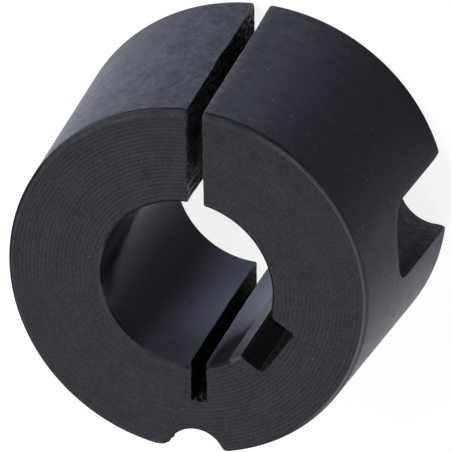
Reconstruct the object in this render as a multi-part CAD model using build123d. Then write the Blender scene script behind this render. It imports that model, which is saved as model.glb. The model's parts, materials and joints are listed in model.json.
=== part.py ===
from build123d import *
import os
from math import radians, sqrt, tan

# A split taper bush: one piece of cast iron, turned to a taper, bored for a shaft, slit with a saw,
# keyed, and drilled on its rim for the screws that pull it into its hub or push it out again.
# Millimetres. The origin is the centre of the large face, +Z runs along the bore to the small face,
# and +Y points at the saw cut that goes right through the wall. Angles are turned from +X towards +Y.

# Turned body
large_end_diameter = 35.2
length = 22.3
taper_half_angle = 4.0
bore_diameter = 15.4
large_rim_chamfer = 0.4
small_rim_chamfer = 0.3
large_bore_chamfer = 0.35
small_bore_chamfer = 0.3

# Saw cut: it passes through the whole wall on +Y and stops inside the wall on -Y. The blade ran
# slightly askew, so the cut lies further from the middle at the small face than at the large one.
cut_width = 1.45
cut_offset_small_face = 0.97
cut_offset_large_face = 0.43
cut_floor_from_axis = 11.0

# Keyway
keyway_angle = -33.9
keyway_width = 4.92
keyway_floor_from_axis = 9.85
keyway_corner_radius = 0.2
keyway_mouth_width = 6.6
keyway_mouth_depth = 0.2

# Two blind half-holes for the closing screws, cut from the large face by a round-ended cutter.
# Their depth is to the bottom of the round end.
screw_hole_angles = (4.9, 184.9)
screw_hole_diameter = 7.0
screw_hole_pitch_radius = 16.7
screw_hole_depth = 13.8

# One half-hole right through, at the core diameter of its thread, for the screw that jacks the bush out
jacking_hole_angle = -88.0
jacking_hole_diameter = 5.3
jacking_hole_pitch_radius = 16.48

# How far each cutter runs past the faces that it leaves through
overrun = 1.0

large_end_radius = large_end_diameter / 2
bore_radius = bore_diameter / 2
taper = tan(radians(taper_half_angle))


def taper_radius(height):
    """Radius of the tapered seat at a height above the large face."""
    return large_end_radius - height * taper


def turned_blank():
    """Half of the ring's section, bevelled at its four corners and turned about the bore's axis."""
    section = Polyline(
        (bore_radius + large_bore_chamfer, 0),
        (large_end_radius - large_rim_chamfer, 0),
        (taper_radius(large_rim_chamfer), large_rim_chamfer),
        (taper_radius(length - small_rim_chamfer), length - small_rim_chamfer),
        (taper_radius(length) - small_rim_chamfer, length),
        (bore_radius + small_bore_chamfer, length),
        (bore_radius, length - small_bore_chamfer),
        (bore_radius, large_bore_chamfer),
        close=True,
    )
    return revolve(Plane.XZ * make_face(section), Axis.Z, 360)


def saw_cut():
    """The blade's path: a thin skewed slab from the floor of the blind side to beyond the rim."""
    slope = (cut_offset_small_face - cut_offset_large_face) / length
    low_middle = cut_offset_large_face - slope * overrun
    high_middle = cut_offset_small_face + slope * overrun
    section = Polyline(
        (low_middle - cut_width / 2, -overrun),
        (low_middle + cut_width / 2, -overrun),
        (high_middle + cut_width / 2, length + overrun),
        (high_middle - cut_width / 2, length + overrun),
        close=True,
    )
    reach = large_end_radius + overrun
    blade = extrude(Plane.XZ * make_face(section), reach + cut_floor_from_axis)
    return Pos(0, reach, 0) * blade


def keyway():
    """A square groove along the bore, rounded in its two corners and bevelled along its two edges."""
    half_width = keyway_width / 2
    half_mouth = keyway_mouth_width / 2
    bore_edge = Vector(sqrt(bore_radius**2 - half_mouth**2), half_mouth)
    wall_edge = Vector(sqrt(bore_radius**2 - half_width**2) + keyway_mouth_depth, half_width)
    # The bevel's plane is carried on to the point where it passes closest to the axis
    bevel = (bore_edge - wall_edge).normalized()
    inner = bore_edge - bevel * bore_edge.dot(bevel)
    section = make_face(
        Polyline(
            (0, 0),
            (inner.X, -inner.Y),
            (wall_edge.X, -half_width),
            (keyway_floor_from_axis, -half_width),
            (keyway_floor_from_axis, half_width),
            (wall_edge.X, half_width),
            (inner.X, inner.Y),
            close=True,
        )
    )
    section = fillet(section.vertices().sort_by(Axis.X)[-2:], keyway_corner_radius)
    groove = extrude(section, length + 2 * overrun)
    return Rot(0, 0, keyway_angle) * Pos(0, 0, -overrun) * groove


def screw_hole(angle):
    """A hole with a hemispherical end, entering from the large face half inside the rim."""
    radius = screw_hole_diameter / 2
    straight_depth = screw_hole_depth - radius
    shank = Cylinder(
        radius,
        straight_depth + overrun,
        align=(Align.CENTER, Align.CENTER, Align.MIN),
    )
    cutter = Pos(0, 0, -overrun) * shank + Pos(0, 0, straight_depth) * Sphere(radius)
    return Rot(0, 0, angle) * Pos(screw_hole_pitch_radius, 0, 0) * cutter


def jacking_hole():
    """The core of the tapped half-hole, open at both faces."""
    drill = Cylinder(
        jacking_hole_diameter / 2,
        length + 2 * overrun,
        align=(Align.CENTER, Align.CENTER, Align.MIN),
    )
    return Rot(0, 0, jacking_hole_angle) * Pos(jacking_hole_pitch_radius, 0, -overrun) * drill


taper_bush = turned_blank() - saw_cut() - keyway() - jacking_hole()
for hole_angle in screw_hole_angles:
    taper_bush -= screw_hole(hole_angle)

os.makedirs("parts", exist_ok=True)
export_step(taper_bush.solid(), "parts/taper_bush.step")
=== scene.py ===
import json

import bpy
import numpy as np
from mathutils import Matrix, Vector
from mathutils.geometry import delaunay_2d_cdt


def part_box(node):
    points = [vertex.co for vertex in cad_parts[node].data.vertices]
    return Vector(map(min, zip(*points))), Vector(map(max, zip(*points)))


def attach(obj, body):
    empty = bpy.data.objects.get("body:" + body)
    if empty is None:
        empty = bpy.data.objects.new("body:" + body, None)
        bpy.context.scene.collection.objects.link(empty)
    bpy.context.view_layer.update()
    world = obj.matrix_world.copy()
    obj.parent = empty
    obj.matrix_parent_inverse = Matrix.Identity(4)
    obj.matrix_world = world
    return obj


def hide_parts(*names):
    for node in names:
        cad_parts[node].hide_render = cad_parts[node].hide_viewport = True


# A split taper bush in blackened iron, standing on its large end. The CAD solid gives its size and place;
# this script dresses it with one skin that carries the turned, sawn, drilled, tapped and broached surfaces.
# The bush is worked out in millimetres and becomes metres in its mesh; the floor, the lamps and the camera
# are in metres. Angles are degrees from +X towards +Y.

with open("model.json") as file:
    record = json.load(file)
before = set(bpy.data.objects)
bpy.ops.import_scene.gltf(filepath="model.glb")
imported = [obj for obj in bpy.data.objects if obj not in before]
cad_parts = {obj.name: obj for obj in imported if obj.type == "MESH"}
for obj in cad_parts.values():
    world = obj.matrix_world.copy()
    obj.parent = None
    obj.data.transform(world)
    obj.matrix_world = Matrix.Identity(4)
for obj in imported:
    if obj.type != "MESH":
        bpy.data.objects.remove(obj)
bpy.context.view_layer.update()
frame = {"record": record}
_, body_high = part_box("taper_bush")
mounts = {mount["name"]: mount for mount in frame["record"]["mounts"]}

# Sizes of the bush. The outer line is the depth of the dark line under the rim's bevel.
length = body_high.z * 1000
bore_radius = mounts["shaft_bore"]["dims"]["r_mm"]
large_radius = 17.6
taper = np.tan(np.radians(4.0))
foot_bevel = {"seat": 0.40, "bored": 0.35}
top_bevel = {"seat": 0.26, "bored": 0.28}
outer_line = 0.68
facing_pitch = 0.35
closing_hole = {"pitch": 16.7, "radius": 3.5, "depth": 13.8}
closing_hole_angles = (4.9, 184.9)
jacking_hole = {"angle": -88.0, "pitch": 16.48, "core": 2.65, "major": 3.175, "thread": 1.27}
saw_cut = {"half_width": 0.71, "entry": 1.08, "slot_floor": 11.0}
keyway = {"angle": -34.3, "upper": 2.54, "lower": 2.38, "floor_upper": 9.95, "floor_lower": 9.86}
keyway_lip = {"upper": 3.30, "lower": 3.46, "upper_depth": 0.18, "lower_depth": 0.13}

# The skin's finishes, in the order of its slots
finish_names = ["seat", "bored", "sawn", "broached", "drilled", "tapped", "face", "bevel", "lip"]

# Heights of the skin's rows: close together on the bevels at both ends, an eighth of a thread apart between
low_rows = np.array([0, 0.01, 0.04, 0.08, 0.16, 0.24, 0.30, 0.35, 0.40, 0.45])
high_rows = length - np.array([0.40, 0.35, 0.30, 0.25, 0.20, 0.14, 0.08, 0.04, 0.01, 0])
middle_rows = np.linspace(0.52, length - 0.47, 134)
z = np.concatenate([low_rows, middle_rows, high_rows])[:, None]
from_small_face = length - z


def soft_step(value):
    """Nought below 0, one above 1, and 3t squared minus 2t cubed between."""
    t = np.clip(value, 0, 1)
    return t * t * (3 - 2 * t)


def soft_positive(value, softness=0.04):
    """The value where it is positive and nought where it is negative, with a rounded corner at nought."""
    return 0.5 * (value + np.sqrt(value * value + softness * softness))


def broken_edge(depth, radius):
    """How far a wall stands back at a depth below a face: a quarter round of the given radius."""
    rest = np.clip(radius - depth, 0, radius)
    return radius - np.sqrt(radius * radius - rest * rest)


def waves(along, lengths, seed):
    """A sum of sines of the given wavelengths with seeded phases, between about -1 and 1."""
    phases = np.random.default_rng(seed).uniform(0, 2 * np.pi, len(lengths))
    total = sum(np.sin(2 * np.pi * along / w + p) for w, p in zip(lengths, phases))
    return total / len(lengths)


def polar(angle, radius):
    """Points at an angle and a radius about the bore's axis, with x and y on the last axis."""
    a = np.radians(angle)
    return np.stack(np.broadcast_arrays(radius * np.cos(a), radius * np.sin(a)), -1)


def seat_radius(height):
    """Radius of the tapered seat, less a 45 degree bevel at the large end and one at the small end that is
    1.4 times as wide as it is high. Both run softly into the seat.
    """
    foot = soft_positive(foot_bevel["seat"] - height)
    top = 1.4 * soft_positive(height - length + top_bevel["seat"])
    return large_radius - height * taper - (foot + top)


def bored_radius(height):
    """Radius of the bore, plus a soft 45 degree bevel at each end."""
    foot = soft_positive(foot_bevel["bored"] - height)
    return bore_radius + foot + soft_positive(height - length + top_bevel["bored"])


def cut_middle(y, height):
    """x of the saw cut's middle: a plane that leans with the height and twists with y."""
    return 0.50 + 0.0118 * y + (0.0170 - 0.00021 * y) * height


def sawn_wall(y, height, side):
    """x of a wall of the saw cut, side -1 on the left and 1 on the right of it.

    It stands half the cut's width from the middle, which swings over to where the blade entered at the
    small face. Near the rim the cut bends to the left at its foot, and the left wall bulges at half height.
    On top come slow waves of the blade and the ridges that its teeth left along the bore's direction.
    """
    from_top = length - height
    middle = cut_middle(y, height) + (saw_cut["entry"] - cut_middle(y, length)) * np.exp(-from_top / 0.7)
    slow_waves = 0.03 * waves(height + 0.2 * y, (6.3, 3.7, 2.1), 11 + side)
    half = saw_cut["half_width"] + 0.0005 * np.abs(y) + slow_waves
    bend = -0.16 * np.exp(-height / 2.5) * soft_step((y - 10) / 6)
    bulge = -0.08 * np.exp(-(((height - 11.3) / 1.9) ** 2)) * soft_step((y - 8) / 6) * (side < 0)
    across = y + 0.10 * height + 0.004 * height * height
    teeth = 0.016 * waves(across, (0.83, 0.57, 1.31, 2.3), 5 + side)
    mouth = broken_edge(from_top, 0.07) + broken_edge(height, 0.08)
    return middle + bend + bulge + side * (half + teeth + mouth)


def wall_end(radius, side, sign):
    """y where a wall of the saw cut meets a circle, found by putting x back into the circle's equation."""
    y = sign * radius
    for _ in range(4):
        x = sawn_wall(y, z, side)
        y = sign * np.sqrt(radius * radius - x * x)
    return y


def wall_angle(y, side):
    """The angle about the axis at which a wall of the saw cut passes y."""
    return np.degrees(np.arctan2(y, sawn_wall(y, z, side)))


def arc(start, end, radius):
    """Part of a circle about the axis: the angle goes evenly from start to end."""

    def point(t):
        return polar(start + (end - start) * t, radius)

    return point, np.radians(np.abs(end - start)) * radius


def straight(start, end):
    """A line: start plus t times the way to the end."""

    def point(t):
        return start + (end - start) * t[..., None]

    return point, np.linalg.norm(end - start, axis=-1)


def sawn(start_y, end_y, side):
    """Along a wall of the saw cut: y goes evenly from start to end and x is the wall's."""

    def point(t):
        y = start_y + (end_y - start_y) * t
        return np.stack([sawn_wall(y, z, side), y], -1)

    return point, np.abs(end_y - start_y) + 0 * z


def thread_groove(turn):
    """Depth of the tapped groove: a 60 degree vee with a flat root, followed up its right-hand helix."""
    pitch = jacking_hole["thread"]
    deepest = jacking_hole["major"] - jacking_hole["core"]
    phase = (z - pitch * turn / 360) / pitch
    off_middle = np.abs(phase - np.floor(phase) - 0.5) * pitch
    groove = np.clip((0.08 + deepest * 0.577 - off_middle) / 0.577, 0, deepest)
    run_out = soft_step((from_small_face - 0.7) / 0.8) * soft_step((z - 0.15) / 0.7)
    return groove * run_out


def half_hole(angle, pitch, radius_at):
    """A half-hole in the rim: a circle about its own centre, from where it leaves the seat to where it meets
    it again. The triangle of axis, centre and meeting point gives both angles. Above the hole's round end
    the columns run on up the seat and spread out again.
    """
    seat = seat_radius(z)
    ends = []
    for sign in (-1, 1):
        radius = radius_at(sign * 90.0 + 0 * z)
        spread = (seat**2 + pitch**2 - radius**2) / (2 * seat * pitch)
        swing = (pitch**2 + radius**2 - seat**2) / (2 * pitch * np.maximum(radius, 0.01))
        ends.append([np.degrees(np.arccos(np.clip(cosine, -1, 1))) for cosine in (spread, swing)])
    (spread_low, swing_low), (spread_high, swing_high) = ends
    least_spread = 0.25
    is_open = (spread_low > least_spread) & (radius_at(0 * z) > 0.05)
    fan = least_spread + 0.9 * np.clip(z - np.where(is_open, z, 0).max(), 0, None)
    spread_low = np.where(is_open, spread_low, fan)
    spread_high = np.where(is_open, spread_high, fan)
    centre = polar(angle, pitch)
    outward = polar(angle, 1.0)
    onward = polar(angle + 90, 1.0)

    def point(t):
        swing = -swing_low + (swing_low + swing_high) * t
        radius = radius_at(swing)
        a = np.radians(swing)
        inward = -(radius * np.cos(a))[..., None] * outward
        sideways = (radius * np.sin(a))[..., None] * onward
        on_seat = polar(angle - spread_low + (spread_low + spread_high) * t, seat)
        return np.where(is_open[..., None], centre + inward + sideways, on_seat)

    along_hole = np.radians(swing_low + swing_high) * radius_at(0 * z)
    along_seat = np.radians(spread_low + spread_high) * seat
    return point, np.where(is_open, along_hole, along_seat), angle - spread_low, angle + spread_high


def closing_radius(swing):
    """The closing screw's hole: plain, then closing as a half ball does, a little squarer on the side where
    the swing is negative, with a broken edge at its mouth.
    """
    radius = closing_hole["radius"]
    into_end = np.clip(z - closing_hole["depth"] + radius, 0, radius)
    power = 2 + 0.8 * soft_step(-swing / 70)
    return (radius**power - into_end**power) ** (1 / power) + broken_edge(z, 0.12)


def jacking_radius(swing):
    """The jacking screw's hole: its core, the tapped groove and a broken edge at both mouths."""
    mouth = broken_edge(from_small_face, 0.22) + broken_edge(z, 0.15)
    return jacking_hole["core"] + thread_groove(swing) + mouth


def keyway_points():
    """Corners of the keyway, square to its own direction: two shallow lips, two walls and the floor."""
    outward = polar(keyway["angle"], 1.0)
    sideways = polar(keyway["angle"] + 90, 1.0)
    edge = broken_edge(from_small_face, 0.06) + broken_edge(z, 0.08)
    radius = bored_radius(z)
    upper = keyway["upper"] + edge + 0.015 * waves(z, (5.1, 2.3), 21)
    lower = keyway["lower"] + edge + 0.015 * waves(z, (4.3, 1.9), 22)
    flat = [
        (np.sqrt(radius**2 - keyway_lip["upper"] ** 2), keyway_lip["upper"] + 0 * z),
        (np.sqrt(radius**2 - upper**2) + keyway_lip["upper_depth"], upper),
        (keyway["floor_upper"] + edge, upper),
        (keyway["floor_lower"] + edge, -lower),
        (np.sqrt(radius**2 - lower**2) + keyway_lip["lower_depth"], -lower),
        (np.sqrt(radius**2 - keyway_lip["lower"] ** 2), -keyway_lip["lower"] + 0 * z),
    ]
    return [u[..., None] * outward + v[..., None] * sideways for u, v in flat]


def angle_of(point):
    """The angle of points about the axis."""
    return np.degrees(np.arctan2(point[..., 1], point[..., 0]))


def outline_strips():
    """The bush's outline at every height, as strips that follow each other with the iron on the left.

    Each strip is (path, its length, number of columns, finish, size of the broken corner at its end).
    """
    seat = seat_radius(z)
    bored = bored_radius(z)
    left_hole = half_hole(closing_hole_angles[1], closing_hole["pitch"], closing_radius)
    right_hole = half_hole(closing_hole_angles[0], closing_hole["pitch"], closing_radius)
    tapped = half_hole(jacking_hole["angle"], jacking_hole["pitch"], jacking_radius)
    seat_left_y = wall_end(seat, -1, 1)
    seat_right_y = wall_end(seat, 1, 1)
    bore_left_y = wall_end(bored, -1, 1)
    bore_right_y = wall_end(bored, 1, 1)
    slot_left_y = wall_end(bored, -1, -1)
    slot_right_y = wall_end(bored, 1, -1)
    cut_left = wall_angle(seat_left_y, -1)
    cut_right = wall_angle(seat_right_y, 1)
    bore_left = wall_angle(bore_left_y, -1)
    bore_right = wall_angle(bore_right_y, 1)
    slot_left = wall_angle(slot_left_y, -1)
    slot_right = wall_angle(slot_right_y, 1)
    corners = keyway_points()
    edge = broken_edge(from_small_face, 0.06)
    floor_left_y = 0.08 - saw_cut["slot_floor"] - edge + 0.03 * waves(z, (4.7, 2.2), 31)
    floor_right_y = -0.08 - saw_cut["slot_floor"] - edge + 0.03 * waves(z, (5.3, 2.6), 32)
    floor_left = np.stack([sawn_wall(floor_left_y, z, -1), floor_left_y], -1)
    floor_right = np.stack([sawn_wall(floor_right_y, z, 1), floor_right_y], -1)
    # Sizes of the broken corners: two that waver all the way up, and five that open towards one end
    worn = 0.05 + 0.02 * waves(z, (3.1, 1.7, 0.9, 0.6), 41)
    chipped = 0.06 + 0.035 * waves(z, (2.9, 1.3, 0.8, 0.5), 42)
    foot = worn + 0.55 * np.exp(-z / 0.8)
    heel = worn + 0.34 * np.exp(-z / 0.6)
    brow = worn + 0.12 * np.exp(-from_small_face / 0.4)
    knocked = 0.15 + 1.35 * np.exp(-from_small_face / 0.7)
    rounded = 0.08 + 0.45 * np.exp(-from_small_face / 0.6)
    return [
        (*arc(cut_left, left_hole[2], seat), 38, "seat", worn),
        (*left_hole[:2], 20, "drilled", worn),
        (*arc(left_hole[3], 360 + tapped[2], seat), 30, "seat", knocked),
        (*tapped[:2], 24, "tapped", rounded),
        (*arc(tapped[3], right_hole[2], seat), 32, "seat", foot),
        (*right_hole[:2], 24, "drilled", foot),
        (*arc(right_hole[3], cut_right, seat), 32, "seat", heel + 0.12),
        (*sawn(seat_right_y, bore_right_y, 1), 16, "sawn", brow),
        (*arc(bore_right, angle_of(corners[0]), bored), 34, "bored", 0.02),
        (*straight(corners[0], corners[1]), 3, "bored", 0.04),
        (*straight(corners[1], corners[2]), 5, "broached", 0.25),
        (*straight(corners[2], corners[3]), 10, "broached", 0.30),
        (*straight(corners[3], corners[4]), 6, "broached", 0.04),
        (*straight(corners[4], corners[5]), 4, "lip", 0.02),
        (*arc(angle_of(corners[5]), slot_right, bored), 9, "bored", chipped),
        (*sawn(slot_right_y, floor_right_y, 1), 10, "sawn", 0.12),
        (*straight(floor_right, floor_left), 6, "sawn", 0.10),
        (*sawn(floor_left_y, slot_left_y, -1), 16, "sawn", chipped),
        (*arc(slot_left, bore_left - 360, bored), 62, "bored", brow),
        (*sawn(bore_left_y, seat_left_y, -1), 46, "sawn", heel),
    ]


def outline_columns(strips):
    """The strips' points in order, each corner rounded by two points of the quadratic curve that has the
    corner as its control point. Gives the points, each column's finish and how near it is to an edge.
    """
    pairs = list(zip(strips, strips[1:] + strips[:1]))
    rounding = [np.minimum(s[4] + 0 * z, 0.3 * np.minimum(s[1], n[1])) for s, n in pairs]
    points, finishes, edges = [], [], []
    for index, ((path, along, count, finish, _), following) in enumerate(pairs):
        start = rounding[index - 1] / along
        end = 1 - rounding[index] / along
        t = start + (end - start) * np.linspace(0, 1, count)[None, :]
        points.append(path(t))
        finishes += [finish] * count
        edges += [0.6] + [0.0] * (count - 2) + [0.6]
        first = path(end)
        corner = path(end * 0 + 1)
        second = following[0](rounding[index] / following[1])
        for s in (1 / 3, 2 / 3):
            points.append((1 - s) ** 2 * first + 2 * s * (1 - s) * corner + s * s * second)
        finishes += [finish, following[3]]
        edges += [1.0, 1.0]
    return np.concatenate(points, 1), finishes, np.array(edges)


def inside_and_clear(points, loop, clearance):
    """Which points lie inside a closed loop and at least the clearance away from each of its sides.

    Inside means that a ray along +X crosses the loop an odd number of times.
    """
    start = loop[None]
    end = np.roll(loop, -1, 0)[None]
    p = points[:, None]
    spans = (start[..., 1] > p[..., 1]) != (end[..., 1] > p[..., 1])
    rise = end[..., 1] - start[..., 1]
    rise = np.where(rise == 0, 1e-12, rise)
    crossing = start[..., 0] + (p[..., 1] - start[..., 1]) * (end[..., 0] - start[..., 0]) / rise
    inside = (spans & (crossing > p[..., 0])).sum(1) % 2 == 1
    side = end - start
    t = np.clip(((p - start) * side).sum(-1) / np.maximum((side * side).sum(-1), 1e-12), 0, 1)
    gap = np.linalg.norm(p - start - side * t[..., None], axis=-1).min(1)
    return inside & (gap > clearance)


def ring_points(inner, outer, ring_gap, spacing):
    """Points on circles a ring gap apart, evenly spaced along each and turned a little from ring to ring."""
    rings = []
    for index, radius in enumerate(np.arange(inner, outer, ring_gap)):
        count = int(2 * np.pi * radius / spacing)
        angle = 360 * (np.arange(count) + 0.5 * (index % 2)) / count
        rings.append(polar(angle, radius))
    return np.concatenate(rings)


def faced(point, depth, seed):
    """How deep the turning tool's spiral is cut at a point: a cosine of the radius, deeper or shallower
    from ring to ring and from side to side.
    """
    radius = np.linalg.norm(point, axis=-1)
    angle = np.arctan2(point[:, 1], point[:, 0])
    turn = radius / facing_pitch - angle / (2 * np.pi)
    strength = 0.65 + 0.35 * waves(np.floor(turn), (2.7, 5.9), seed)
    around = 0.75 + 0.25 * np.cos(angle + 0.6) + 0.2 * np.cos(2 * angle - 0.9)
    return depth * strength * around * (0.5 - 0.5 * np.cos(2 * np.pi * turn))


def end_face(loop, ring_gap, spacing, depth, seed):
    """Triangles over an end's outline, through the outline's own points and rings of points inside it.

    Gives the points added inside, how deep each is cut, and the triangles counted from the loop's first.
    """
    rings = ring_points(bore_radius + 0.35, large_radius, ring_gap, spacing)
    rings = rings[inside_and_clear(rings, loop, 0.07)]
    corners = [Vector(p) for p in np.concatenate([loop, rings]).tolist()]
    outline = [list(range(len(loop)))]
    _, _, triangles, origins, _, _ = delaunay_2d_cdt(corners, [], outline, 1, 1e-7)
    first = np.array([o[0] for o in origins])
    return rings, faced(rings, depth, seed), first[np.array(triangles)]


def closed_skin(outline):
    """The skin's points, the quads of its side and the triangles of its ends, counted through all points.

    The side is a grid, the outline's columns by the heights of the rows, that closes on itself round the
    bush. The top face comes after it and the low face last, with its triangles turned over.
    """
    rows, columns = outline.shape[:2]
    side = np.concatenate([outline, np.broadcast_to(z[..., None], (rows, columns, 1))], -1).reshape(-1, 3)
    i, j = np.meshgrid(np.arange(rows - 1), np.arange(columns), indexing="ij")
    k = (j + 1) % columns
    quads = np.stack([i * columns + j, i * columns + k, (i + 1) * columns + k, (i + 1) * columns + j], -1)
    top_rings, top_cut, top = end_face(outline[-1], facing_pitch / 4, 0.62, 0.009, 51)
    low_rings, low_cut, low = end_face(outline[0], facing_pitch * 2, 1.4, 0.006, 52)
    top_points = np.column_stack([top_rings, length - top_cut])
    low_points = np.column_stack([low_rings, low_cut])
    first_top = len(side)
    first_low = first_top + len(top_points)
    top = np.where(top < columns, top + (rows - 1) * columns, top - columns + first_top)
    low = np.where(low < columns, low, low - columns + first_low)[:, ::-1]
    return np.concatenate([side, top_points, low_points]), quads.reshape(-1, 4), np.concatenate([top, low])


def side_finishes(column_finish):
    """The finish of every face of the side, as a place in finish_names: its column's finish, the seat's above
    a drilled hole's end, and the bevel's at both ends of the seat and the bore. At the seat's small end it
    reaches further down than the bevel, for the dark line below it.
    """
    heights = (z[:-1, 0] + z[1:, 0]) / 2
    finish = np.broadcast_to(column_finish, (len(heights), len(column_finish))).copy()
    above_hole = heights > closing_hole["depth"]
    finish[np.ix_(above_hole, column_finish == finish_names.index("drilled"))] = finish_names.index("seat")
    for name, reach in (("seat", outer_line + 0.04), ("bored", top_bevel["bored"] - 0.03)):
        at_ends = (heights < foot_bevel[name] - 0.03) | (heights > length - reach)
        finish[at_ends[:, None] & (finish == finish_names.index(name))] = finish_names.index("bevel")
    return finish


def edge_share(column_finish, edges):
    """How near the side's points are to an edge: as the columns say, and one at both ends' edges. Beside a
    drilled hole it fades out towards the hole's round end.
    """
    at_ends = np.maximum(1 - from_small_face / 0.08, 0) + np.maximum(1 - z / 0.08, 0)
    drilled = column_finish == finish_names.index("drilled")
    beside = np.logical_or.reduce([np.roll(drilled, shift) for shift in range(-3, 4)])
    fades = np.where(beside, soft_step((closing_hole["depth"] - z) / 1.5), 1.0)
    return np.maximum(fades * edges, at_ends)


def bush_skin():
    """The whole skin as one closed mesh: the outline carried up through every row, closed by two end faces.

    Its wrap attribute is the way along the outline at half height and the height. Its edge attribute is the
    nearness to an edge.
    """
    outline, finishes, edges = outline_columns(outline_strips())
    rows, columns = outline.shape[:2]
    on_side = rows * columns
    points, quads, triangles = closed_skin(outline)
    mesh = bpy.data.meshes.new("taper_bush_skin")
    mesh.from_pydata((points / 1000).tolist(), [], quads.tolist() + triangles.tolist())

    column_finish = np.array([finish_names.index(f) for f in finishes])
    end_finish = np.full(len(triangles), finish_names.index("face"))
    finish = np.concatenate([side_finishes(column_finish).ravel(), end_finish])
    mesh.polygons.foreach_set("material_index", finish.astype(np.int32))

    steps = np.linalg.norm(np.diff(outline[rows // 2], axis=0), axis=1)
    wrap = np.zeros((len(points), 3), np.float32)
    wrap[:on_side, 0] = np.broadcast_to(np.concatenate([[0], np.cumsum(steps)]), (rows, columns)).ravel()
    wrap[:, 1] = points[:, 2]
    mesh.attributes.new("wrap", "FLOAT_VECTOR", "POINT").data.foreach_set("vector", wrap.ravel())
    edge = np.zeros(len(points), np.float32)
    edge[:on_side] = edge_share(column_finish, edges).ravel()
    mesh.attributes.new("edge", "FLOAT", "POINT").data.foreach_set("value", edge)
    mesh.shade_smooth()
    mesh.set_sharp_from_angle(angle=np.radians(38))
    mesh.update()
    skin = bpy.data.objects.new("taper_bush_body", mesh)
    bpy.context.scene.collection.objects.link(skin)
    return skin


class Finish:
    """Nodes of one material, added and joined by short calls."""

    def __init__(self, name):
        self.material = bpy.data.materials.new(name)
        self.material.use_nodes = True
        self.tree = self.material.node_tree
        self.tree.nodes.clear()
        self.output = self.add("ShaderNodeOutputMaterial")

    def add(self, kind, inputs=None, **settings):
        """A node with its settings and its inputs, which are sockets or plain values."""
        node = self.tree.nodes.new(kind)
        for key, value in settings.items():
            setattr(node, key, value)
        for key, value in (inputs or {}).items():
            if isinstance(value, bpy.types.NodeSocket):
                self.tree.links.new(value, node.inputs[key])
            else:
                node.inputs[key].default_value = value
        return node

    def math(self, operation, a, b=0.0):
        """One sum on two numbers."""
        return self.add("ShaderNodeMath", {0: a, 1: b}, operation=operation).outputs[0]

    def plus(self, first, *others):
        """The sum of two or more numbers."""
        for other in others:
            first = self.math("ADD", first, other)
        return first

    def times(self, first, *others):
        """The product of two or more numbers."""
        for other in others:
            first = self.math("MULTIPLY", first, other)
        return first

    def apart(self, a, b):
        """How far two numbers are apart."""
        return self.math("ABSOLUTE", self.math("SUBTRACT", a, b))

    def ramp(self, value, low, high, out_low=0.0, out_high=1.0):
        """The value taken from one range to another, smoothly and without going past its ends."""
        node = self.add(
            "ShaderNodeMapRange",
            {"Value": value, "From Min": low, "From Max": high, "To Min": out_low, "To Max": out_high},
            interpolation_type="SMOOTHSTEP",
        )
        return node.outputs["Result"]

    def scaled(self, vector, scale, offset=(0, 0, 0)):
        """The place stretched by a scale on each axis and moved by an offset."""
        inputs = {"Vector": vector, "Scale": scale, "Location": offset}
        return self.add("ShaderNodeMapping", inputs).outputs[0]

    def noise(self, vector, scale, detail=3.0, roughness=0.55):
        """Noise, about 0.5 in the middle."""
        node = self.add(
            "ShaderNodeTexNoise", {"Vector": vector, "Scale": scale, "Detail": detail, "Roughness": roughness}
        )
        return node.outputs["Fac"]

    def mix(self, factor, a, b):
        """One colour going over to another."""
        node = self.add("ShaderNodeMix", {"Factor": factor}, data_type="RGBA")
        for key, value in ((6, a), (7, b)):
            if isinstance(value, bpy.types.NodeSocket):
                self.tree.links.new(value, node.inputs[key])
            else:
                node.inputs[key].default_value = (*value, 1.0)
        return node.outputs[2]

    def ringed(self, place):
        """Radius from the axis and a little wander, as a vector whose noise makes rings."""
        inputs = {0: self.radius(place), 1: self.noise(place, 0.2, 0.0)}
        return self.add("ShaderNodeCombineXYZ", inputs).outputs[0]

    def radius(self, place):
        """Distance from the bush's axis."""
        flat = self.add("ShaderNodeVectorMath", {0: place, 1: (1, 1, 0)}, operation="MULTIPLY").outputs[0]
        return self.add("ShaderNodeVectorMath", {0: flat}, operation="LENGTH").outputs["Value"]

    def towards(self, place, angle):
        """How far a place lies from the bush's axis towards an angle."""
        inputs = {0: place, 1: (*polar(angle, 1.0), 0)}
        return self.add("ShaderNodeVectorMath", inputs, operation="DOT_PRODUCT").outputs["Value"]

    def facing(self, place, angle):
        """Cosine of the turn about the axis from an angle to a place."""
        return self.math("DIVIDE", self.towards(place, angle), self.radius(place))

    def turn_from(self, place, angle):
        """The turn about the axis from an angle to a place, in degrees from -180 to 180."""
        radians = self.math("ARCTAN2", self.towards(place, angle + 90), self.towards(place, angle))
        return self.times(radians, 57.3)

    def bump(self, height, distance):
        """Relief from a height, with its distance in metres."""
        return self.add("ShaderNodeBump", {"Height": height, "Distance": distance}).outputs[0]

    def surface(self, shader):
        """The shader put on the surface."""
        self.tree.links.new(shader.outputs[0], self.output.inputs["Surface"])


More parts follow.
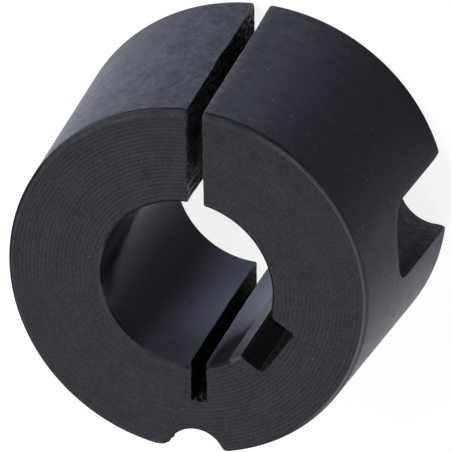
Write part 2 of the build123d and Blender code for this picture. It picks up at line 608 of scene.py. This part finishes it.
# Colours of the black oxide, of the iron where it is thin or rubbed off, and of painted light and shade
oxide = {
    # painted shade beyond the keyway's fillet
    "deep": (0.002, 0.002, 0.002),
    "arris": (0.004, 0.004, 0.005),
    # painted shadow in the bore
    "bore_shadow": (0.005, 0.005, 0.005),
    "pit": (0.006, 0.006, 0.007),
    # painted shade on the bevels
    "shaded": (0.008, 0.008, 0.009),
    "bore_mouth": (0.009, 0.009, 0.010),
    # painted shade in the bore, the drilled holes and the keyway's lips
    "dull": (0.012, 0.012, 0.013),
    # painted shade in the bore
    "blue_black": (0.016, 0.017, 0.021),
    "face": (0.036, 0.0365, 0.038),
    "seat": (0.057, 0.060, 0.071),
    # painted highlight along the keyway's fillet
    "fillet": (0.060, 0.061, 0.058),
    # painted highlight on the bore's bevel
    "bore_bevel_highlight": (0.060, 0.061, 0.066),
    # the saw ridges' crests, painted pale as highlights
    "ridge": (0.088, 0.091, 0.082),
    "slot_end": (0.15, 0.155, 0.14),
    "worn": (0.16, 0.16, 0.17),
    "knock": (0.19, 0.19, 0.215),
    # painted highlights: thin pale lines on the sawn walls
    "line": (0.22, 0.22, 0.22),
    # painted light in the bore
    "violet": (0.250, 0.262, 0.350),
    "torn": (0.60, 0.60, 0.605),
}

# How strong each part of a finish is where the finish doesn't say: the slow cloud, the tool's streaks, the
# grain and how fine it is, the level and the tint of the gloss, and the rubbed edges
usual_weights = {
    "cloud": 0.3,
    "tool": 0.3,
    "grain": 0.4,
    "fine": 4.5,
    "level": 0.02,
    "tint": (0.86, 0.88, 1.0),
    "worn": 0.3,
}


def blackened_iron(name, dark, light, rough, relief, streak, **look):
    """Iron under a thin black oxide.

    The colour goes from dark to light with a slow cloud, with streaks along the tool's way and with fine
    grain. The streak vector stretches the noise along and up the skin, or in radius on the end faces. Look
    holds the weights that differ from the usual ones, and the marks, the painted light and the painted shade
    that only some surfaces have. Every mark paints over those before it, and the rubbed edges come last.
    """
    weight = {**usual_weights, **look}
    f = Finish(name)
    place = f.scaled(f.add("ShaderNodeTexCoord").outputs["Object"], (1000, 1000, 1000))
    up = f.add("ShaderNodeSeparateXYZ", {0: place}).outputs[2]
    wrap = f.add("ShaderNodeAttribute", attribute_name="wrap").outputs["Vector"]
    edge = f.add("ShaderNodeAttribute", attribute_name="edge").outputs["Fac"]
    cloud = f.ramp(f.noise(place, 0.55, 4.0, 0.6), 0.3, 0.7)
    grain = f.ramp(f.noise(place, weight["fine"], 3.0, 0.6), 0.25, 0.75)
    tool_way = f.ringed(place) if "rings" in weight else wrap
    streaks = f.ramp(f.noise(f.scaled(tool_way, streak), 1.0, 2.0, 0.65), 0.3, 0.7)
    tone = f.plus(f.times(cloud, weight["cloud"]), f.times(streaks, weight["tool"]))
    tone = f.plus(tone, f.times(grain, weight["grain"]))
    height = f.plus(f.times(streaks, 2.5 * weight["tool"]), f.times(grain, 0.3))
    if "mottle" in weight:
        patches = mottled(f, place, wrap, weight["mottle"])
        tone = f.plus(tone, patches)
        height = f.plus(height, f.times(patches, 0.5))
    if "rings" in weight:
        rings = turned_rings(f, place, weight["rings"])
        tone = f.plus(tone, rings)
        height = f.plus(height, rings)
    colour = f.mix(tone, dark, light)
    # The bore's painted light and shade
    if "heat" in weight:
        colour = heat_tinted(f, place, up, colour, weight["heat"])
    if "torn" in weight:
        colour = burred(f, place, up, wrap, edge, colour, weight)
    if "nicked" in weight:
        colour = f.mix(nicks(f, place, *weight["nicked"]), colour, oxide["knock"])
    if "pits" in weight:
        pit = pits(f, place, up, wrap)
        colour = f.mix(f.times(pit, weight["pits"]), colour, oxide["pit"])
        height = f.math("SUBTRACT", height, f.times(pit, 1.5))
    # The bevels' painted highlights and shade, and their dark arris lines
    if "rim" in weight:
        colour = rim_bevel(f, place, colour, weight["rim"])
    # Painted shade: darker across a range of heights
    if "dull" in weight:
        colour = f.mix(f.ramp(up, *weight["dull"], 0.0, 0.8), colour, oxide["dull"])
    rub = f.times(edge, f.ramp(f.noise(place, 2.2, 3.0), 0.35, 0.65))
    colour = f.mix(f.times(rub, weight["worn"]), colour, oxide["worn"])
    inputs = {
        "Base Color": colour,
        "Roughness": f.ramp(f.plus(streaks, cloud), 0.2, 1.8, *rough),
        "Normal": f.bump(height, relief),
        "Specular IOR Level": weight["level"],
        "Specular Tint": (*weight["tint"], 1.0),
    }
    f.surface(f.add("ShaderNodeBsdfPrincipled", inputs))
    return f.material


def pits(f, place, up, wrap):
    """Rust pits in the bore, gathered by a slow noise in two upright bands of it, towards 200 degrees and,
    fewer, towards 238. Both bands fade out low down and near the small end.
    """
    near_200 = f.ramp(f.towards(place, 200), 6.4, 7.4)
    near_238 = f.ramp(f.towards(place, 238), 6.9, 7.6, 0.0, 0.7)
    bands = f.math("MAXIMUM", near_200, near_238)
    bands = f.times(bands, f.times(f.ramp(up, 3.0, 8.0), f.ramp(up, 15.0, 20.0, 1.0, 0.0)))
    gathered = f.times(f.ramp(f.noise(place, 0.35, 1.0), 0.35, 0.65), 0.10)
    gathered = f.plus(gathered, f.times(near_200, 0.06))
    pit = f.noise(f.scaled(wrap, (3.6, 3.8, 1), (3, 9, 0)), 1.0, 1.0, 0.5)
    return f.times(f.ramp(f.plus(pit, gathered), 0.64, 0.74), bands)


def heat_tinted(f, place, up, colour, share):
    """Painted light and shade on the bore's oxide, by the turn from 240 degrees. Painted shade darkens it
    about -20, a painted violet light lies on it from 0 on and most of all at the large end, and painted shade
    darkens it again from 10 on near the small end. Painted shadow makes the small end's third almost black
    past 46 and before -58.
    """
    turn = f.turn_from(place, 240)
    # Painted shade about -20 degrees
    shade_band = f.times(f.ramp(turn, -44.0, -28.0), f.ramp(turn, -14.0, 2.0, 1.0, 0.0))
    colour = f.mix(f.times(shade_band, share), colour, oxide["blue_black"])
    # Painted violet light, most of all at the large end
    violet = f.times(f.ramp(turn, -14.0, 14.0), f.ramp(up, 3.0, 20.0, 1.0, 0.0))
    colour = f.mix(f.times(violet, share), colour, oxide["violet"])
    # Painted shade near the small end from 10 degrees on
    mouth = f.times(f.ramp(turn, 0.0, 20.0), f.ramp(up, 14.0, 24.0))
    colour = f.mix(f.times(mouth, 0.7), colour, oxide["dull"])
    # Painted shadow: two almost black strips in the small end's third
    right_strip = f.times(f.ramp(turn, 42.0, 46.0, 0.0, 0.86), f.ramp(up, 11.5, 17.5))
    left_strip = f.times(f.ramp(turn, -58.0, -44.0, 1.0, 0.0), f.ramp(up, 11.0, 15.5))
    return f.mix(f.times(f.math("MAXIMUM", right_strip, left_strip), 0.96), colour, oxide["bore_shadow"])


def nicks(f, place, share, largest, strength):
    """Small knocks: a short arc of paler metal in a share of the cells of a random cell pattern."""
    cell = f.add("ShaderNodeTexVoronoi", {"Vector": place, "Scale": 1.15}, feature="F1").outputs
    chance = f.add("ShaderNodeSeparateColor", {0: cell["Color"]}).outputs
    size = f.ramp(chance[1], 0.0, 1.0, 0.3 * largest, largest)
    circle = f.ramp(f.apart(cell["Distance"], size), 0.02, 0.06, 1.0, 0.0)
    arcs = f.times(circle, f.ramp(f.noise(place, 2.5, 1.0), 0.48, 0.58))
    return f.times(arcs, f.math("LESS_THAN", chance[0], share), strength)


def rim_bevel(f, place, colour, pale):
    """The small end's bevels and the band of seat under the rim's, by their side: 1 on the right, towards +X,
    and -1 on the left.

    The seat keeps its own colour on the right, and the rim's bevel is painted pale there as a highlight, with
    a dark line along its inner arris. A dark line follows its outer arris, and stands lower towards +Y and
    -Y. Painted shade makes the left a little darker, and the top towards 262 degrees as well. The bore's
    bevel is dark, but carries a painted highlight: as pale as the face within some 50 degrees of 214 and
    paler still within some 30 degrees of 213.
    """
    x, y, up = f.add("ShaderNodeSeparateXYZ", {0: place}).outputs
    side = f.math("DIVIDE", f.plus(x, f.times(y, 0.12)), f.radius(place))
    top = f.ramp(up, length - 0.30, length - 0.24)
    under_top = f.times(f.math("GREATER_THAN", up, length / 2), f.math("SUBTRACT", 1.0, top))
    colour = f.mix(f.times(under_top, f.ramp(side, 0.60, 0.85)), colour, oxide["seat"])
    # Painted highlight: the rim's bevel pale on the right
    colour = f.mix(f.times(f.ramp(side, 0.35, 0.92), top), colour, pale)
    inner = f.times(f.ramp(up, length - 0.08, length - 0.04), f.ramp(side, 0.40, 0.75, 0.0, 0.7))
    outer_at = f.ramp(f.apart(side, 0.02), 0.58, 0.78, length - outer_line, length - 0.26)
    outer = f.times(f.ramp(f.apart(up, outer_at), 0.08, 0.19, 1.0, 0.0), f.ramp(side, 0.0, 0.6, 1.0, 0.4))
    # Painted shade: the left a little darker
    colour = f.mix(f.ramp(side, -0.9, -0.2, 0.4, 0.0), colour, oxide["shaded"])
    colour = f.mix(f.times(f.math("MAXIMUM", inner, outer), 0.95), colour, oxide["arris"])
    # Painted shade on the top towards 262 degrees
    near_262 = f.ramp(f.facing(place, 262), 0.45, 0.80, 0.0, 0.7)
    colour = f.mix(f.times(near_262, top), colour, oxide["shaded"])
    of_bore = f.times(f.math("LESS_THAN", f.radius(place), (bore_radius + large_radius) / 2), top)
    # The bore's bevel: dark, with a painted highlight about 213 degrees
    bore_colour = f.mix(f.ramp(f.facing(place, 214), 0.54, 0.64), oxide["bore_mouth"], oxide["face"])
    bore_colour = f.mix(f.ramp(f.facing(place, 213), 0.83, 0.94), bore_colour, oxide["bore_bevel_highlight"])
    return f.mix(of_bore, colour, bore_colour)


def mottled(f, place, wrap, share):
    """How much paler the seat is from place to place, by the turn from +X: clouded patches, dark flecks and
    thin dark scratches before -18 and past 89, and weaker ones from 76 on. It also carries painted light,
    paler between -60 and -22, and painted shade, darker between 26 and 52.
    """
    turn = f.turn_from(place, 0)
    right = f.ramp(turn, -18.0, -2.0, 1.0, 0.0)
    left = f.plus(f.ramp(turn, 62.0, 76.0, 0.0, 0.35), f.ramp(turn, 87.0, 89.0, 0.0, 0.65))
    here = f.times(f.math("MAXIMUM", left, right), share)
    patch = f.ramp(f.noise(f.scaled(wrap, (0.55, 0.4, 1)), 1.0, 3.0, 0.55), 0.3, 0.7, -0.34, 0.46)
    fleck = f.ramp(f.noise(f.scaled(wrap, (1.7, 1.2, 1), (5, 1, 0)), 1.0, 3.0, 0.6), 0.30, 0.55, -0.7, 0.15)
    scratch = f.ramp(f.noise(f.scaled(wrap, (0.4, 4.0, 1), (7, 3, 0)), 1.0, 1.0, 0.5), 0.72, 0.80, 0.0, -0.8)
    # Painted light: paler on the lower right
    lower = f.times(f.ramp(turn, -22.0, 10.0, 0.6, 0.0), f.ramp(turn, -90.0, -60.0))
    # Painted shade between 26 and 52 degrees
    shaded = f.times(f.ramp(turn, 12.0, 26.0, 0.0, -0.34), f.ramp(turn, 52.0, 70.0, 1.0, 0.0))
    return f.plus(f.times(f.plus(patch, fleck, scratch), here), f.plus(lower, shaded))


def turned_rings(f, place, share):
    """The facing tool's spiral as a wave of the radius, clear in some sectors and almost gone in others."""
    x, y, _ = f.add("ShaderNodeSeparateXYZ", {0: place}).outputs
    angle = f.math("ARCTAN2", y, x)
    turns = f.math("DIVIDE", angle, 2 * np.pi)
    drift = f.times(f.noise(place, 0.35, 1.0), 1.2)
    turn = f.math("SUBTRACT", f.math("DIVIDE", f.radius(place), facing_pitch), turns)
    wave = f.math("SINE", f.plus(f.times(turn, 2 * np.pi), drift))
    sectors = f.math("COSINE", f.plus(f.times(angle, 2.0), 1.6))
    sectors = f.ramp(f.plus(sectors, f.noise(place, 0.25, 1.0)), -0.4, 1.2, 0.2, 1.0)
    return f.times(wave, sectors, share)


def burred(f, place, up, wrap, edge, colour, weight):
    """The saw's and the broach's marks on a dark wall.

    Grey ridges run across it, their crests painted pale as highlights, except at its edges and in the closing
    cut's middle, where thin pale lines stand instead as painted highlights. Pale torn grains lie over both,
    thick below a height and thin above it. Last come the keyway's fillet, with its painted highlight and
    shade, and the paler end of the slot at the large end.
    """
    low = f.ramp(up, 0.5, weight["torn_below"], 1.0, 0.0)
    grains = f.noise(f.scaled(wrap, (4.4, 1.1, 1), (2, 6, 0)), 1.0, 3.0, 0.7)
    ridges = f.ramp(f.noise(f.scaled(wrap, (2.7, 0.8, 1), (2, 6, 0)), 1.0, 1.0, 0.6), 0.50, 0.57)
    lines = f.ramp(f.noise(f.scaled(wrap, (3.6, 0.2, 1), (8, 2, 0)), 1.0, 1.0, 0.5), 0.54, 0.58)
    along_cut = f.towards(place, 90)
    in_cut = f.times(f.ramp(along_cut, 4.0, 5.0), f.ramp(along_cut, 8.4, 10.2, 1.0, 0.0))
    ridges = f.times(ridges, f.math("SUBTRACT", 1.0, f.math("MAXIMUM", f.times(in_cut, 0.9), edge)))
    # Grey saw ridges, their crests painted pale as highlights
    colour = f.mix(f.times(ridges, weight["torn"]), colour, oxide["ridge"])
    # Thin pale lines in the cut's middle, painted highlights
    lines = f.times(in_cut, f.math("SUBTRACT", 1.0, edge), lines)
    colour = f.mix(f.times(lines, weight["torn"]), colour, oxide["line"])
    torn = f.ramp(f.plus(grains, f.times(low, 0.13)), 0.60, 0.66)
    torn = f.times(torn, f.plus(f.times(low, 0.8), 0.2))
    torn = f.math("MAXIMUM", torn, f.times(edge, f.times(low, 1.2)))
    colour = f.mix(f.times(torn, weight["torn"]), colour, oxide["torn"])
    # The keyway's fillet: painted highlight and painted shade
    if "fillet" in weight:
        colour = fillet_highlight_and_shade(f, place, colour, weight["fillet"])
    slot_end = f.times(f.ramp(up, 2.5, 5.5, 1.0, 0.0), f.ramp(f.towards(place, 270), 2.0, 4.0))
    slot_end = f.times(slot_end, f.ramp(grains, 0.3, 0.7, 0.2, weight["torn"]))
    return f.mix(slot_end, colour, oxide["slot_end"])


def fillet_highlight_and_shade(f, place, colour, at):
    """The fillet under the keyway's floor: a thin broken pale line painted as its highlight at a distance out
    along the keyway, with painted shade on the wall beyond it.
    """
    outward = f.towards(place, keyway["angle"])
    # Painted shade on the wall beyond the fillet
    colour = f.mix(f.ramp(outward, at - 0.3, at - 0.1, 0.0, 0.8), colour, oxide["deep"])
    broken = f.ramp(f.noise(place, 1.6, 2.0), 0.35, 0.6, 0.3, 1.0)
    # Painted highlight along the fillet
    line = f.times(f.ramp(f.apart(outward, at), 0.03, 0.09, 1.0, 0.0), broken)
    return f.mix(line, colour, oxide["fillet"])


def bush_finishes():
    """The finishes by name."""
    return {
        # The seat's mottle carries painted light on the lower right and painted shade between 26 and 52
        # degrees
        "seat": blackened_iron(
            "seat_ground_black",
            dark=(0.0405, 0.0433, 0.0545), light=(0.078, 0.081, 0.094), rough=(0.28, 0.36), relief=0.000003,
            streak=(0.25, 1.2, 1), tool=0.05, cloud=0.35, grain=0.6, mottle=0.75, nicked=(0.34, 0.25, 0.62),
            worn=0.5,
        ),
        # The bore carries painted light and shade as well as its pits
        "bored": blackened_iron(
            "bore_bored_black",
            dark=(0.040, 0.042, 0.052), light=(0.080, 0.084, 0.104), rough=(0.14, 0.20), relief=0.000002,
            streak=(0.25, 1.8, 1), tool=0.15, cloud=0.35, grain=0.5, tint=(0.76, 0.81, 1.0), heat=0.8,
            pits=0.7, worn=0.15,
        ),
        "sawn": blackened_iron(
            "cut_sawn_black",
            dark=(0.004, 0.004, 0.004), light=(0.016, 0.016, 0.015), rough=(0.5, 0.7), relief=0.00004,
            streak=(4.0, 0.35, 1), torn=0.9, torn_below=8.0, worn=0.12,
        ),
        "broached": blackened_iron(
            "keyway_broached_black",
            dark=(0.009, 0.010, 0.009), light=(0.021, 0.022, 0.021), rough=(0.5, 0.65), relief=0.00002,
            streak=(3.0, 0.2, 1), torn=0.04, torn_below=2.0, fillet=9.55, worn=0.15,
        ),
        # The drilled walls are pale partly as drilled iron and partly as painted light, and painted shade
        # darkens them towards the hole's round end
        "drilled": blackened_iron(
            "hole_drilled_black",
            dark=(0.014, 0.014, 0.017), light=(0.140, 0.143, 0.165), rough=(0.3, 0.4), relief=0.00003,
            streak=(1.2, 2.6, 1), tool=0.8, cloud=0.25, grain=0.25, level=0.20, dull=(1.0, 13.0), worn=0.35,
        ),
        "tapped": blackened_iron(
            "hole_tapped_black",
            dark=(0.008, 0.008, 0.008), light=(0.022, 0.022, 0.023), rough=(0.4, 0.55), relief=0.00001,
            streak=(0.5, 2.0, 1), worn=0.03,
        ),
        "face": blackened_iron(
            "face_turned_black",
            dark=(0.0148, 0.0151, 0.0160), light=(0.0362, 0.0370, 0.0392), rough=(0.5, 0.62), relief=0.000006,
            streak=(2.9, 0.6, 1), tool=0.15, cloud=0.15, grain=0.55, fine=5.5, rings=0.17,
            nicked=(0.06, 0.08, 0.2), worn=0.05,
        ),
        # The bevels carry painted highlights on the rim's right and in the bore, and painted shade on the
        # left and the top
        "bevel": blackened_iron(
            "bevel_turned_black",
            dark=(0.018, 0.018, 0.020), light=(0.045, 0.046, 0.050), rough=(0.4, 0.5), relief=0.000004,
            streak=(0.4, 3.0, 1), rim=(0.095, 0.095, 0.099), worn=0.1,
        ),
        # The keyway's lips: pale, with painted shade towards the small end
        "lip": blackened_iron(
            "keyway_lip_pale",
            dark=(0.090, 0.090, 0.104), light=(0.240, 0.240, 0.270), rough=(0.4, 0.5), relief=0.000008,
            streak=(1.5, 0.3, 1), tool=0.5, cloud=0.2, grain=0.3, dull=(14.0, 22.3), worn=0.1,
        ),
    }


def paper_floor():
    """A wide white sheet under the bush. It takes the bush's shadow and shows white to the eye. In gloss it
    glows where it lies inside the bore and beside the bush at -45 degrees, and shows its shadows elsewhere.
    It also throws light up into the bore and into one closing hole.
    """
    mesh = bpy.data.meshes.new("paper_floor")
    reach = 3.0
    corners = [(-reach, -reach, 0), (reach, -reach, 0), (reach, reach, 0), (-reach, reach, 0)]
    mesh.from_pydata(corners, [], [(0, 1, 2, 3)])
    f = Finish("white_paper")
    path = f.add("ShaderNodeLightPath").outputs
    to_eye = f.math("MAXIMUM", path["Is Camera Ray"], path["Is Transmission Ray"])
    in_gloss = path["Is Glossy Ray"]
    scattered = path["Is Diffuse Ray"]
    place = f.add("ShaderNodeTexCoord").outputs["Object"]

    def glow(ray, point, inner, outer, full, least=0.0):
        """Light for one kind of ray, full within the inner distance of a point and least past the outer."""
        distance = f.add("ShaderNodeVectorMath", {0: place, 1: (*point, 0)}, operation="DISTANCE")
        return f.times(ray, f.ramp(distance.outputs["Value"], inner, outer, full, least))

    axis = (0.0, 0.0)
    right_hole = polar(closing_hole_angles[0], closing_hole["pitch"] / 1000)
    beside = polar(-45.0, 0.023)
    glows = f.plus(
        glow(in_gloss, axis, 0.0077, 0.0095, 1.05, 0.05),
        glow(scattered, axis, 0.0095, 0.0125, 0.22),
        glow(scattered, right_hole, 0.0034, 0.0042, 0.7),
        glow(in_gloss, beside, 0.004, 0.015, 0.22),
    )
    seen = f.mix(in_gloss, (1.0, 1.0, 1.0), (0.86, 0.90, 1.04))
    strength = f.plus(f.times(to_eye, 0.86), glows)
    light = f.add("ShaderNodeEmission", {"Color": seen, "Strength": strength})
    shade = f.mix(in_gloss, (0.20, 0.20, 0.20), (0.70, 0.70, 0.715))
    paper = f.add("ShaderNodeBsdfDiffuse", {"Color": shade})
    f.surface(f.add("ShaderNodeAddShader", {0: light.outputs[0], 1: paper.outputs[0]}))
    mesh.materials.append(f.material)
    floor = bpy.data.objects.new("paper_floor", mesh)
    bpy.context.scene.collection.objects.link(floor)
    return floor


def soft_box(name, azimuth, elevation, size, power, colour=(1, 1, 1)):
    """A square lamp that looks at the bush's middle from a direction. Its distance and size are in metres."""
    lamp = bpy.data.lights.new(name, "AREA")
    lamp.shape = "SQUARE"
    lamp.size = size
    lamp.energy = power
    lamp.color = colour
    lamp_object = bpy.data.objects.new(name, lamp)
    distance = 0.6
    bush_middle = Vector((0, 0, 0.011))
    a, e = np.radians(azimuth), np.radians(elevation)
    away = Vector((np.cos(e) * np.cos(a), np.cos(e) * np.sin(a), np.sin(e)))
    turn = away.to_track_quat("Z", "Y").to_matrix().to_4x4()
    lamp_object.matrix_world = Matrix.Translation(away * distance + bush_middle) @ turn
    bpy.context.scene.collection.objects.link(lamp_object)


def studio_light():
    """Plain soft light: five soft boxes around the bush, in a room that gives no light of its own."""
    world = bpy.data.worlds.new("studio_room")
    world.use_nodes = True
    world.node_tree.nodes["Background"].inputs["Color"].default_value = (1, 1, 1, 1)
    world.node_tree.nodes["Background"].inputs["Strength"].default_value = 0.0
    bpy.context.scene.world = world
    cool = (0.94, 0.96, 1.08)
    soft_box("high_box", 130, 57, 0.22, 3.2, cool)
    soft_box("key_box", 150, 38, 0.22, 0.7, cool)
    soft_box("low_box", 150, 12, 0.22, 2.1, cool)
    soft_box("side_box", 304, 12, 0.22, 3.6)
    soft_box("back_box", 252, 35, 0.22, 2.3)


def bush_camera():
    """The camera: its place, the way it looks and which way is up, by its three directions."""
    camera = bpy.data.cameras.new("view_camera")
    camera.lens = 329.139
    camera.sensor_width = 36.0
    camera.clip_start = 0.02
    camera.clip_end = 20.0
    forward = Vector((-0.2704699, -0.4154605, -0.8684691)).normalized()
    up = Vector((-0.1073253, 0.9094804, -0.4016550))
    right = forward.cross(up).normalized()
    up = right.cross(forward)
    place = Matrix((right, up, -forward)).transposed().to_4x4()
    place.translation = Vector((0.09837773, 0.15136258, 0.32612381))
    camera_object = bpy.data.objects.new("view_camera", camera)
    camera_object.matrix_world = place
    bpy.context.scene.collection.objects.link(camera_object)
    bpy.context.scene.camera = camera_object


bush = bush_skin()
finishes = bush_finishes()
for finish_name in finish_names:
    bush.data.materials.append(finishes[finish_name])
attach(bush, "root")
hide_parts("taper_bush")
paper_floor()
studio_light()
bush_camera()
bpy.context.scene.view_settings.view_transform = "Standard"
